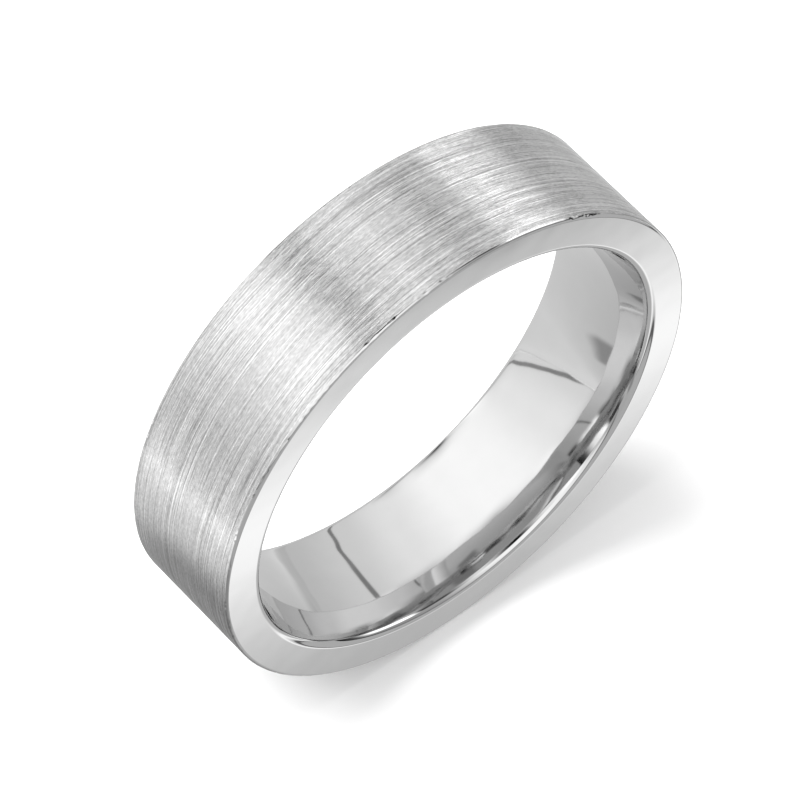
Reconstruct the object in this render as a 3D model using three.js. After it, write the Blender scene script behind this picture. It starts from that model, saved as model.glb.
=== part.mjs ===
// A plain wedding band: one ring of white metal, 6 mm wide, with a flat outer face, flat side
// faces and a domed, comfort-fit bore. It has no seam, stone or moving part, so it is one solid.
//
// The ring stands on its rim. Its axis lies along Y, Z points up, and the origin is the centre
// of the finger hole. Lengths are in millimetres.

import * as THREE from 'three';

// Driving dimensions
const fingerDiameter = 19.6;    // clear hole at the narrowest place, halfway across the width
const wallThickness = 2.1;      // from the crown of the domed bore to the outer face
const bandWidth = 6.0;          // along the axis, from side face to side face
const boreFlare = 0.6;          // how much further from the axis the bore is at the side faces
const lipRadius = 0.3;          // rounding between the bore and each side face
const edgeBreak = 0.14;         // rounding between the outer face and each side face

// How finely the curves are divided
const segmentsAround = 120;
const segmentsPerEdge = 2;
const segmentsPerLip = 3;
const segmentsPerHalfDome = 4;

// Sizes that follow
const crownRadius = fingerDiameter / 2;
const outerRadius = crownRadius + wallThickness;
const rimRadius = crownRadius + boreFlare;
const halfWidth = bandWidth / 2;

// The bore's dome is an arc about a point in the mid-plane, domeRadius further out than the crown.
// It meets each lip's arc smoothly, and each lip's arc meets its side face smoothly:
//   (domeRadius - boreFlare)^2 + (halfWidth - lipRadius)^2 = (domeRadius - lipRadius)^2
const lipOffset = halfWidth - lipRadius;
const domeRadius = (lipOffset ** 2 + boreFlare ** 2 - lipRadius ** 2) / (2 * (boreFlare - lipRadius));
const domeCentreRadius = crownRadius + domeRadius;
const domeHalfAngle = Math.atan2(lipOffset, domeCentreRadius - rimRadius);

// Points on an arc in the (radius, along the axis) plane. The angle is 0 where the arc faces the
// axis of the ring, and grows towards +Y.
function arc(centreRadius, centreAlong, arcRadius, startAngle, endAngle, segments) {
  const points = [];
  for (let i = 0; i <= segments; i += 1) {
    const angle = startAngle + ((endAngle - startAngle) * i) / segments;
    const radius = centreRadius - arcRadius * Math.cos(angle);
    const along = centreAlong + arcRadius * Math.sin(angle);
    points.push(new THREE.Vector2(radius, along));
  }
  return points;
}

// The +Y half of the band's cross-section, from the crown of the bore over the lip, the side face
// and the edge to the outer face.
function sectionHalf() {
  const quarter = Math.PI / 2;
  const edgeCentreRadius = outerRadius - edgeBreak;
  const edgeCentreAlong = halfWidth - edgeBreak;
  const dome = arc(domeCentreRadius, 0, domeRadius, 0, domeHalfAngle, segmentsPerHalfDome);
  const lip = arc(rimRadius, lipOffset, lipRadius, domeHalfAngle, quarter, segmentsPerLip);
  const edge = arc(edgeCentreRadius, edgeCentreAlong, edgeBreak, quarter, 2 * quarter, segmentsPerEdge);
  return [...dome, ...lip.slice(1), ...edge];
}

// The whole outline: out over the -Y side, which mirrors the +Y side, then back over the +Y side to
// the crown where it began. Walked this way round, the lathe's faces point out of the metal.
function section() {
  const half = sectionHalf();
  const mirrored = half.map((point) => new THREE.Vector2(point.x, -point.y));
  return [...mirrored, ...half.reverse()];
}

function makeBand() {
  const geometry = new THREE.LatheGeometry(section(), segmentsAround);
  const material = new THREE.MeshStandardMaterial({ color: 0xc9c9c7, roughness: 0.3, metalness: 1.0 });
  const band = new THREE.Mesh(geometry, material);
  band.name = 'band';
  return band;
}

const ring = new THREE.Group();
ring.add(makeBand());

export default ring;
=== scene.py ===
# %% [markdown]
# # A brushed wedding band
# One ring of white metal, turned on a lathe. Its outside is a plain cylinder with a satin, brushed
# finish. The two flat sides, the rounded lips and the domed finger hole are polished like a mirror.
# The lesson builds it in this order: the fixed frame, the cross-section, the turned body, the two
# finishes, the studio, and the camera. All lengths are in metres, and the finger hole lies along Y.

# %% Load the fixed frame
import math

import bpy
import numpy as np
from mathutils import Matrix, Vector


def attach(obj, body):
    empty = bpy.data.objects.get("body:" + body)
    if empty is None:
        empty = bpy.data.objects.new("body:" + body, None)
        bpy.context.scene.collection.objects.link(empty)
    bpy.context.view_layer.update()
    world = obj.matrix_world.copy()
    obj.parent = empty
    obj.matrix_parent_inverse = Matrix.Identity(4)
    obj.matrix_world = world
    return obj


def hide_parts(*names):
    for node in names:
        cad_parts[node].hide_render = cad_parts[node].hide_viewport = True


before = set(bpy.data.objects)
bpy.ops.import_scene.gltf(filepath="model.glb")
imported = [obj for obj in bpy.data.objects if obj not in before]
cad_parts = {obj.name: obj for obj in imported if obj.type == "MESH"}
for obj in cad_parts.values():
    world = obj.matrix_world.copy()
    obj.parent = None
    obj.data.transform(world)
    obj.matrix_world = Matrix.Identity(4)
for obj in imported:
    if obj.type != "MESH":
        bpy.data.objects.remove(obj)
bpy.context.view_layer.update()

scene = bpy.context.scene

# %% [markdown]
# ## Measure the turned part
# The real ring starts as a plain blank whose sizes are fixed in the CAD model. They could be typed in
# again here, but measuring them from the CAD band keeps the two models alike if a size ever changes.

# %% Measure the CAD band
MM = 0.001
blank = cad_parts["band"].data
points = np.array([v.co for v in blank.vertices], float)
radius, along = np.hypot(points[:, 0], points[:, 2]), np.abs(points[:, 1])

half_width = along.max()
outer_radius = radius.max()
crown_radius = radius.min()
on_the_side = along > half_width - 0.001 * MM
rim_radius = radius[on_the_side].min()
edge_break = outer_radius - radius[on_the_side].max()
lip_radius = 0.3 * MM          # the small round between the finger hole and the flat side, as in the CAD
print("mm: width %.3f, outside %.3f, crown %.3f, rim %.3f, edge break %.3f" % tuple(
    v / MM for v in (2 * half_width, 2 * outer_radius, crown_radius, rim_radius, edge_break)))

# %% [markdown]
# ## The cross-section
# A jeweller turns four things on this band: a slightly domed finger hole, a small rolled lip, a flat
# side, and a tiny break where the side meets the brushed face. Each is a line or an arc, so the
# section is worked out exactly. Flat stretches get a few extra points close to each arc. Without
# them the smooth shading of the arc would leak across the flat, and a mirror shows that at once.

# %% Draw the cross-section
def arc(centre_radius, centre_along, size, start, end, steps):
    """Points of an arc in the section; angle 0 points at the finger, 90 along the finger."""
    angles = np.radians(np.linspace(start, end, steps + 1))
    return [(centre_radius - size * math.cos(a), centre_along + size * math.sin(a)) for a in angles]


def stretch(a, b, shares):
    """Points between a and b at the given shares of the way."""
    return [(a[0] + (b[0] - a[0]) * t, a[1] + (b[1] - a[1]) * t) for t in shares]


lip_along = half_width - lip_radius
flare = rim_radius - crown_radius
dome_radius = (lip_along**2 + flare**2 - lip_radius**2) / (2 * (flare - lip_radius))
dome_angle = math.degrees(math.atan2(lip_along, crown_radius + dome_radius - rim_radius))

dome = arc(crown_radius + dome_radius, 0.0, dome_radius, 0, dome_angle, 24)
lip = arc(rim_radius, lip_along, lip_radius, dome_angle, 90, 14)
edge = arc(outer_radius - edge_break, half_width - edge_break, edge_break, 90, 180, 8)
side = stretch(lip[-1], edge[0], (0.012, 0.05, 0.35, 0.65, 0.95, 0.988))
half = dome + lip[1:] + side + edge
face = stretch(half[-1], (outer_radius, 0.0), (0.004, 0.02, 0.06, 0.15, 0.3, 0.5, 0.75, 1.0))
half = half + face
section = half + [(r, -y) for r, y in reversed(half[1:-1])]
print(len(section), "points round the section, dome radius %.2f mm" % (dome_radius / MM))

# %% [markdown]
# ## A helper for node trees
# Node trees can be drawn by hand or built in code. Built in code, long chains of Math nodes are hard to
# read, so this small class wraps a socket and lets ordinary sums add the nodes.

# %% A small helper for node trees
class Link:
    """Wraps a socket, so that an expression on values adds its Math nodes."""

    def __init__(self, tree, socket):
        self.tree, self.socket = tree, socket

    def node(self, kind, settings=None, out=0, **values):
        """Adds a node: its settings first, then numbers or links for its sockets (names, or _0, _1)."""
        made = self.tree.nodes.new(kind)
        for name, value in (settings or {}).items():
            if name == "stops":
                ramp = made.color_ramp
                while len(ramp.elements) < len(value):
                    ramp.elements.new(1.0)
                for stop, (place, level) in zip(ramp.elements, value):
                    stop.position = place
                    stop.color = (level, level, level, 1.0)
            elif name == "blend":
                made.color_ramp.interpolation = value
            else:
                setattr(made, name, value)
        for name, value in values.items():
            key = int(name[1:]) if name[1:].isdigit() else name.replace("_", " ")
            if isinstance(value, Link):
                self.tree.links.new(value.socket, made.inputs[key])
            else:
                made.inputs[key].default_value = value
        return Link(self.tree, made.outputs[out])

    def sums(self, operation, *values):
        named = {"_%d" % i: v for i, v in enumerate(values)}
        return self.node("ShaderNodeMath", {"operation": operation}, **named)

    def vec(self, operation, *values):
        named = {"_%d" % i: v for i, v in enumerate(values)}
        return self.node("ShaderNodeVectorMath", {"operation": operation}, **named)

    def scaled(self, factor):
        return self.node("ShaderNodeVectorMath", {"operation": "SCALE"}, _0=self, Scale=factor)

    def __add__(self, other):
        return self.sums("ADD", self, other)

    def __sub__(self, other):
        return self.sums("SUBTRACT", self, other)

    def __mul__(self, other):
        return self.sums("MULTIPLY", self, other)

    def __truediv__(self, other):
        return self.sums("DIVIDE", self, other)

    def __radd__(self, other):
        return self.sums("ADD", other, self)

    def __rsub__(self, other):
        return self.sums("SUBTRACT", other, self)

    def __rmul__(self, other):
        return self.sums("MULTIPLY", other, self)

    def between(self, low, high):
        """0 below low, 1 above high, with a soft step from one to the other."""
        return self.node("ShaderNodeMapRange", {"interpolation_type": "SMOOTHSTEP"},
                         Value=self, From_Min=low, From_Max=high)

    def axis(self, name):
        return self.node("ShaderNodeSeparateXYZ", out="XYZ".index(name), _0=self)

    def grain(self, scale, detail=0.0, roughness=0.5):
        """Noise from 0 to 1, stretched by a scale for each axis."""
        spread = self.vec("MULTIPLY", self, scale)
        return self.node("ShaderNodeTexNoise", Vector=spread, Scale=1.0, Detail=detail,
                         Roughness=roughness)


print("helper ready:", ", ".join(n for n in vars(Link) if not n.startswith("_")))

# %% [markdown]
# ## The turned body
# The band could be a Screw modifier on the section, or a spin in edit mode. Geometry Nodes turn it
# here, because the same small tree also puts tiny hand-made nicks along the satin edges, where the
# brushing wheel ran over the polished break. Its sizes are named inputs and its noise has a seed.

# %% The section as a curve
section_curve = bpy.data.curves.new("section", "CURVE")
section_curve.dimensions = "3D"
spline = section_curve.splines.new("POLY")
spline.points.add(len(section) - 1)
spline.use_cyclic_u = True
for p, (r, y) in zip(spline.points, section):
    p.co = (r - outer_radius, -y, 0.0, 1.0)
section_object = bpy.data.objects.new("section", section_curve)
scene.collection.objects.link(section_object)
print("section curve with", len(spline.points), "points")

# %% The turning tree
def turning_tree():
    tree = bpy.data.node_groups.new("turn_band", "GeometryNodeTree")
    add_socket = tree.interface.new_socket
    add_socket("Geometry", in_out="OUTPUT", socket_type="NodeSocketGeometry")
    for name, kind in (("Section", "Object"), ("Satin", "Material"), ("Polish", "Material"),
                       ("Turning Radius", "Float"), ("Half Width", "Float"), ("Edge Break", "Float"),
                       ("Nick Depth", "Float"), ("Nicks Per Metre", "Float"),
                       ("Segments Around", "Int"), ("Seed", "Int")):
        add_socket(name, in_out="INPUT", socket_type="NodeSocket" + kind)
    start = tree.nodes.new("NodeGroupInput")
    end = tree.nodes.new("NodeGroupOutput")
    given = {s.name: Link(tree, s) for s in start.outputs if s.name}
    g = given["Half Width"]

    info = g.node("GeometryNodeObjectInfo", out="Geometry", Object=given["Section"])
    circle = g.node("GeometryNodeCurvePrimitiveCircle", {"mode": "RADIUS"},
                    Resolution=given["Segments Around"], Radius=given["Turning Radius"])
    stand = g.node("GeometryNodeTransform", Geometry=circle,
                   Rotation=(math.radians(90), 0.0, 0.0))
    body = g.node("GeometryNodeCurveToMesh", Curve=stand, Profile_Curve=info)

    place = g.node("GeometryNodeInputPosition")
    x, y, z = place.axis("X"), place.axis("Y"), place.axis("Z")
    distance = g.sums("SQRT", x * x + z * z)
    from_side = given["Half Width"] - g.sums("ABSOLUTE", y)
    near_edge = (1 - from_side.between(given["Edge Break"] * 0.5, given["Edge Break"] * 1.4)) \
        * distance.between(given["Turning Radius"] - given["Edge Break"] * 0.8,
                           given["Turning Radius"] - given["Edge Break"] * 0.2)
    coarse = g.node("ShaderNodeTexNoise", {"noise_dimensions": "4D"}, Vector=place,
                    W=given["Seed"], Scale=given["Nicks Per Metre"] * 0.16, Detail=1.0)
    fine = g.node("ShaderNodeTexNoise", {"noise_dimensions": "4D"}, Vector=place,
                  W=given["Seed"], Scale=given["Nicks Per Metre"], Detail=1.0)
    bite = coarse.between(0.40, 0.55) * fine.between(0.52, 0.66) * near_edge * given["Nick Depth"]
    outward = g.vec("NORMALIZE", g.node("ShaderNodeCombineXYZ", X=x, Z=z))
    nicked = g.node("GeometryNodeSetPosition", Geometry=body, Offset=outward.scaled(bite * -1))

    smooth = g.node("GeometryNodeSetShadeSmooth", Geometry=nicked, Shade_Smooth=True)
    polished = g.node("GeometryNodeSetMaterial", Geometry=smooth, Material=given["Polish"])
    on_face = distance.between(given["Turning Radius"] - given["Edge Break"] * 0.02,
                               given["Turning Radius"] - given["Edge Break"] * 0.01)
    satin = g.node("GeometryNodeSetMaterial", Geometry=polished, Selection=on_face,
                   Material=given["Satin"])
    real = g.node("GeometryNodeRealizeInstances", Geometry=satin)
    tree.links.new(real.socket, end.inputs[0])
    return tree


tree = turning_tree()
print(len(tree.nodes), "nodes in the turning tree")

# %% [markdown]
# ## The satin finish
# Brushing drags grit round the band, so it is full of fine grooves that run round the ring. Each
# groove tips the surface a little towards one side or the other, and hardly at all round the ring.
# A bump texture could do this, but it blurs grooves that are finer than the view. Tipping the shading
# normal along Y by a stretched noise keeps the same scatter at any distance. Hair-fine grooves make
# the sheen, wider ones show as streaks, and thin scratches are drawn in the colour. Thin bright lines
# in the colour are painted glints: painted highlight, not a reflection of the room.

# %% Satin metal
def new_material(name):
    """A material, its shader, and the place on the object in millimetres."""
    material = bpy.data.materials.new(name)
    material.use_nodes = True
    nodes = material.node_tree.nodes
    place = Link(material.node_tree, nodes.new("ShaderNodeTexCoord").outputs["Object"])
    return material, nodes["Principled BSDF"], place.scaled(1000.0)


def feed(shader, name, value):
    value.tree.links.new(value.socket, shader.inputs[name])


METAL = 0.62                    # white gold under soft light reflects a little over half


def metal_between(low, high, share):
    """The metal's colour, from low times to high times its usual brightness."""
    dark, light = ((METAL * k, METAL * k, METAL * k, 1.0) for k in (low, high))
    return share.node("ShaderNodeMix", {"data_type": "RGBA"}, 2, _0=share, _6=dark, _7=light)


satin, shader, mm = new_material("satin_white_gold")
drift = mm.node("ShaderNodeCombineXYZ", Y=(mm.grain((0.15, 0.15, 0.15)) - 0.5) * 0.4)
lines = mm.vec("ADD", mm, drift)                  # the strokes wander a degree or two
hair = mm.grain((0.6, 190.0, 0.6))
streak = lines.grain((0.10, 5.0, 0.10), 2.0, 0.9).between(0.32, 0.68)
tilt = (hair - 0.5) * 2.0 + (streak - 0.5) * 0.12
normal = mm.node("ShaderNodeNewGeometry", out="Normal")
tipped = mm.vec("NORMALIZE", mm.vec("ADD", normal, mm.node("ShaderNodeCombineXYZ", Y=tilt)))
feed(shader, "Normal", tipped)
worn = mm.grain((0.35, 0.5, 0.35), 2.0)
feed(shader, "Roughness", 0.13 + 0.08 * worn)
scratch = lines.grain((0.12, 16.0, 0.12)).between(0.60, 0.68)
# painted highlight: thin bright lines of painted glint in the metal's colour
painted_glint = lines.grain((0.14, 19.0, 0.14)).between(0.60, 0.68)
speck = mm.grain((5.0, 14.0, 5.0))
# the colour's brightness: scratches, streaks and specks as the metal's own tone, plus the painted glints
# as painted highlight
level = 0.5 + 0.36 * painted_glint - 0.34 * scratch + 0.2 * (streak - 0.5) + 0.6 * (speck - 0.5)
feed(shader, "Base Color", metal_between(0.6, 1.4, level))
shader.inputs["Metallic"].default_value = 1.0
print("satin nodes", len(satin.node_tree.nodes))

# %% [markdown]
# ## The polished finish
# The sides, lips and finger hole are buffed to a mirror. A perfect mirror looks like computer chrome,
# so faint wheel marks and a slightly uneven gloss are added, both much weaker than the brushing. The
# finger hole is buffed on a small wheel, which leaves it a little wavier than the flat sides.

# %% Polished metal
polish, shader, mm = new_material("polished_white_gold")
haze = mm.grain((1.1, 1.1, 1.1), 3.0)
feed(shader, "Roughness", 0.03 + 0.04 * haze)
wheel = mm.grain((1.2, 9.0, 1.2), 2.0)
wave = mm.grain((0.5, 0.5, 0.5), 1.0) - 0.5
reach = mm.sums("SQRT", mm.axis("X") * mm.axis("X") + mm.axis("Z") * mm.axis("Z"))
in_hole = 1 - reach.between(float(rim_radius - lip_radius) / MM, float(rim_radius) / MM)
bump = mm.node("ShaderNodeBump", Strength=1.0, Distance=0.000004,
               Height=wave * (1 + 2.5 * in_hole) + 0.04 * wheel)
feed(shader, "Normal", bump)
feed(shader, "Base Color", metal_between(0.98, 1.03, haze))
shader.inputs["Metallic"].default_value = 1.0
print("polish nodes", len(polish.node_tree.nodes))

# %% [markdown]
# ## From tree to plain mesh
# The tree's sizes are set on the modifier, by each input's own identifier. The result is copied to a
# plain mesh, because a finished piece should carry no live modifier. A solid piece of metal has a skin
# without holes that faces outwards, so both are tested, and the mesh then takes the CAD band's place.

# %% Turn the band and bake it to a plain mesh
worker = bpy.data.objects.new("worker", bpy.data.meshes.new("worker"))
scene.collection.objects.link(worker)
modifier = worker.modifiers.new("turn", "NODES")
modifier.node_group = tree
sizes = {"Section": section_object, "Satin": satin, "Polish": polish,
         "Turning Radius": float(outer_radius), "Half Width": float(half_width),
         "Edge Break": float(edge_break), "Nick Depth": 0.03 * MM, "Nicks Per Metre": 6500.0,
         "Segments Around": 720, "Seed": 7}
for item in tree.interface.items_tree:
    if item.in_out == "INPUT":
        modifier[item.identifier] = sizes[item.name]

graph = bpy.context.evaluated_depsgraph_get()
baked = bpy.data.meshes.new_from_object(worker.evaluated_get(graph), depsgraph=graph)
baked.name = "brushed_band"
band = bpy.data.objects.new("brushed_band", baked)
scene.collection.objects.link(band)
bpy.data.objects.remove(worker)
bpy.data.objects.remove(section_object)

triangles = sum(len(p.vertices) - 2 for p in baked.polygons)
print("brushed_band", len(baked.vertices), "points", triangles, "triangles",
      [m.name for m in baked.materials])

# %% Check that the skin is closed and faces outwards
import bmesh

check = bmesh.new()
check.from_mesh(baked)
open_edges = sum(1 for e in check.edges if len(e.link_faces) != 2)
volume = check.calc_volume(signed=True)
if volume < 0:
    bmesh.ops.reverse_faces(check, faces=check.faces)
    check.to_mesh(baked)
check.free()
print("open edges", open_edges, "volume %.1f cubic mm" % (volume / MM**3))

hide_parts("band")
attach(band, "root")

# %% [markdown]
# ## The studio
# A polished ring is a portrait of the room round it, so the light is planned by what each surface
# reflects. A world shader that reads the ray's own direction makes the room with no lamps to place:
# smooth white panels behind the ring, which the finger hole mirrors; long light strips over it, which
# the brushing smears into bands that run across the band; and a dim wall in front, which draws the
# thin dark lines along the lips.

# %% World light
world = bpy.data.worlds.new("soft_studio")
scene.world = world
world.use_nodes = True
nodes = world.node_tree.nodes
sky = Link(world.node_tree, nodes.new("ShaderNodeTexCoord").outputs["Generated"])
x, y, z = sky.axis("X"), sky.axis("Y"), sky.axis("Z")
turn = sky.sums("ARCTAN2", z, x) / math.pi          # 0 towards +X, 0.5 overhead, 1 towards -X

FULL = 3.0                                         # ramp levels are shares of this brightness
panel_levels = [(0, 0.74), (35, 0.93), (65, 1.18), (95, 1.47), (110, 1.50), (125, 1.47), (155, 1.24),
                (180, 1.02)]
strip_levels = [(0, 0.00), (8, 0.10), (24, 2.00), (40, 2.60), (49, 0.10), (62, 0.10), (82, 1.10),
                (104, 0.00), (124, 1.20), (140, 1.65), (160, 0.85), (180, 0.40)]


def ceiling(levels):
    stops = [(degrees / 180, level / FULL) for degrees, level in levels]
    return turn.node("ShaderNodeValToRGB", {"stops": stops, "blend": "EASE"}, Fac=turn)


def gap(degrees, lean, half_degrees):
    """A thin dark joint between two ceiling panels, leaning as it runs back."""
    away = turn.sums("ABSOLUTE", turn - degrees / 180 + (y - 0.42) * (lean / 180))
    return 0.3 + 0.7 * away.between(half_degrees / 180, half_degrees * 2.2 / 180)


joints = gap(33, 14, 0.8) * gap(179, 22, 0.8)
behind = y.between(0.15, 0.29) * (1 - y.between(0.72, 0.86) * turn.between(0.30, 0.36))
overhead = y.between(-0.5, -0.35)
in_front = (0.2 + 0.8 * z.between(0.05, 0.16)) * (1 - 0.5 * x.between(0.1, 0.5))
light = ceiling(panel_levels) * joints * behind \
    + ceiling(strip_levels) * (1 - behind) * overhead \
    + ceiling(panel_levels) * in_front * (1 - overhead)
background = nodes["Background"]
world.node_tree.links.new((light * FULL).socket, background.inputs["Color"])
print("world nodes", len(nodes))

# %% [markdown]
# ## The paper and the lamp
# The ring stands on plain white paper. A soft lamp high up and a little behind the ring lights the
# paper and draws the short shadow in front. The ring's reflections skip the paper, because the cards
# of the next step stand in for it there.

# %% Paper and lamp
def flat_stage(name, rectangles, height):
    """A flat stage object made of one or more rectangles, given by two opposite corners."""
    corners, faces = [], []
    for x0, y0, x1, y1 in rectangles:
        faces.append([len(corners) + i for i in range(4)])
        corners += [(x0, y0, height), (x1, y0, height), (x1, y1, height), (x0, y1, height)]
    mesh = bpy.data.meshes.new(name)
    mesh.from_pydata(corners, [], faces)
    made = bpy.data.objects.new(name, mesh)
    scene.collection.objects.link(made)
    return made


PAPER = 3.0                                        # half the paper's side
floor = flat_stage("floor", [(-PAPER, -PAPER, PAPER, PAPER)], -outer_radius)
floor.visible_glossy = False
paper = bpy.data.materials.new("white_paper")
paper.use_nodes = True
paper_shader = paper.node_tree.nodes["Principled BSDF"]
paper_shader.inputs["Base Color"].default_value = (0.9, 0.9, 0.9, 1)
paper_shader.inputs["Roughness"].default_value = 1.0
paper_shader.inputs["Specular IOR Level"].default_value = 0.0
floor.data.materials.append(paper)

LAMP_DISTANCE = 0.25
lamp = bpy.data.lights.new("soft_lamp", "AREA")
lamp.shape, lamp.size = "DISK", 0.26
lamp.energy = 0.93
lamp_object = bpy.data.objects.new("soft_lamp", lamp)
scene.collection.objects.link(lamp_object)
towards = Vector((-0.33, 0.42, 1.0)).normalized()
lamp_object.location = towards * LAMP_DISTANCE
lamp_object.rotation_mode = "QUATERNION"
lamp_object.rotation_quaternion = towards.to_track_quat("Z", "Y")
lamp_object.visible_glossy = lamp_object.visible_camera = False
print("paper %.0f m across, lamp %.0f mm wide" % (2 * PAPER, lamp.size / MM))

# %% [markdown]
# ## The reflection cards
# Jewellers lay light and dark cards round a ring to shape its reflections, just out of the camera's
# sight. Lamps could do it, but a graded card gives softer changes. Only reflections see these three:
# one on the paper, one raised a little at the left of the ring, which the brushed face mirrors and the
# finger hole doesn't, and one far below, which the front side mirrors. Places on them are in ring radii.

# %% A card that only reflections see
def glowing_card(name, rectangles, height):
    made = flat_stage(name, [[c * outer_radius for c in four] for four in rectangles],
                      height * outer_radius)
    made.visible_camera = made.visible_diffuse = made.visible_shadow = False
    graded = bpy.data.materials.new(name)
    graded.use_nodes = True
    graded.node_tree.nodes.remove(graded.node_tree.nodes["Principled BSDF"])
    here = Link(graded.node_tree, graded.node_tree.nodes.new("ShaderNodeTexCoord").outputs["Object"])
    made.data.materials.append(graded)
    return graded.node_tree, here.scaled(1 / outer_radius)


def graded_along(value, levels):
    """Card brightness along one direction, at places in ring radii."""
    low, high = levels[0][0], levels[-1][0]
    stops = [((place - low) / (high - low), level / FULL) for place, level in levels]
    share = (value - low) / (high - low)
    return FULL * value.node("ShaderNodeValToRGB", {"stops": stops, "blend": "LINEAR"}, Fac=share)


def shine(card_tree, colour):
    glow = colour.node("ShaderNodeEmission", Color=colour)
    card_tree.links.new(glow.socket, card_tree.nodes["Material Output"].inputs["Surface"])
    print("card lit,", len(card_tree.nodes), "nodes")


# %% The card on the paper
WIDE = 90                                          # ring radii to a card's edge, far out of sight
FRONT_EDGE, CORNER = -0.2, -0.7                    # the card stops short in front of the ring
card_tree, radii = glowing_card(
    "floor_card", [(-WIDE, -WIDE, CORNER, WIDE), (CORNER, FRONT_EDGE, WIDE, WIDE)], -1.001)
across = graded_along(radii.axis("X"), [
    (-9, 0.98), (-1.0, 0.98), (1.5, 1.0), (2.6, 0.75), (5.0, 0.50), (8, 0.42)])
# painted shade: the card is dimmer near the ring, where the ring shades the paper, and stays dim in
# front; far behind it is full bright
painted_ring_shade = graded_along(radii.axis("Y"), [
    (-9, 0.60), (-3, 0.60), (-0.35, 0.62), (-0.05, 0.68), (0.4, 0.74), (0.8, 0.82), (1.6, 0.98),
    (3, 1.02)])
left = -1 * radii.axis("X")
left_front = left.between(0.95, 1.25) * (1 - left.between(2.3, 2.8)) \
    * radii.axis("Y").between(-1.6, -1.1) * (1 - radii.axis("Y").between(-0.1, 0.2))
dark_patch = left.between(0.62, 0.82) * (1 - left.between(1.5, 1.8)) \
    * radii.axis("Y").between(-0.5, -0.2) * (1 - radii.axis("Y").between(0.60, 0.90))
far_back = graded_along(radii.axis("X"), [
    (-8, 1.03), (-1, 0.95), (1.5, 0.80), (3, 0.68), (8, 0.66), (40, 0.70)])
beyond = radii.axis("Y").between(1.5, 2.1)
shine(card_tree, across * painted_ring_shade * (1 - 0.4 * left_front) * (1 - 0.5 * dark_patch)
      * (1 - beyond) + far_back * beyond)

# %% The raised card and the deep card
card_tree, radii = glowing_card("side_card", [(-14, -0.25, -1.36, 5)], -0.46)
shine(card_tree, graded_along(radii.axis("X"), [
    (-14, 0.85), (-3.3, 0.80), (-2.92, 0.80), (-2.72, 1.75), (-2.1, 1.34), (-1.75, 1.10), (-1.5, 0.88),
    (-1.36, 0.60)]))

FAR = 400                                          # wide enough to reach the horizon
card_tree, radii = glowing_card("front_card", [(-FAR, -FAR, FAR, FAR)], -6.0)
slant = radii.axis("Y") - 0.14 * radii.axis("X")
shine(card_tree, graded_along(slant, [
    (-12, 0.62), (-5.7, 0.62), (-5.4, 0.15), (-5.0, 0.15), (-4.8, 0.74), (-4.6, 0.90), (-4.4, 1.14),
    (-4.2, 1.38), (-4.03, 1.50), (-3.88, 1.40), (-3.7, 1.12), (-3.5, 0.90), (-3.3, 0.71),
    (-3.0, 0.63), (3, 0.63)]))

# %% [markdown]
# ## The camera
# Jewellery looks best from a distance through a long lens, so that the ring hardly tapers. The camera
# looks down at it from the front left.

# %% Camera
CAMERA_DISTANCE = 0.298
azimuth, elevation = math.radians(-39.37), math.radians(53.83)
back = Vector((math.sin(azimuth) * math.cos(elevation), -math.cos(azimuth) * math.cos(elevation),
               math.sin(elevation)))
right = Vector((math.cos(azimuth), math.sin(azimuth), 0.0))
up = back.cross(right)
lens = bpy.data.cameras.new("camera")
lens.lens, lens.sensor_width = 333.0, 36.0
lens.clip_start, lens.clip_end = 0.01, 20.0
camera = bpy.data.objects.new("camera", lens)
scene.collection.objects.link(camera)
aim = right * (-0.0371 * outer_radius) + up * (0.0089 * outer_radius)
camera.location = aim + back * CAMERA_DISTANCE
camera.rotation_mode = "QUATERNION"
camera.rotation_quaternion = (-back).to_track_quat("-Z", "Y")
scene.camera = camera
scene.view_settings.view_transform = "Standard"
print("camera at", [round(v, 4) for v in camera.location])

# %% [markdown]
# ## Finish
# The finished ring must fill the same box as the CAD model.
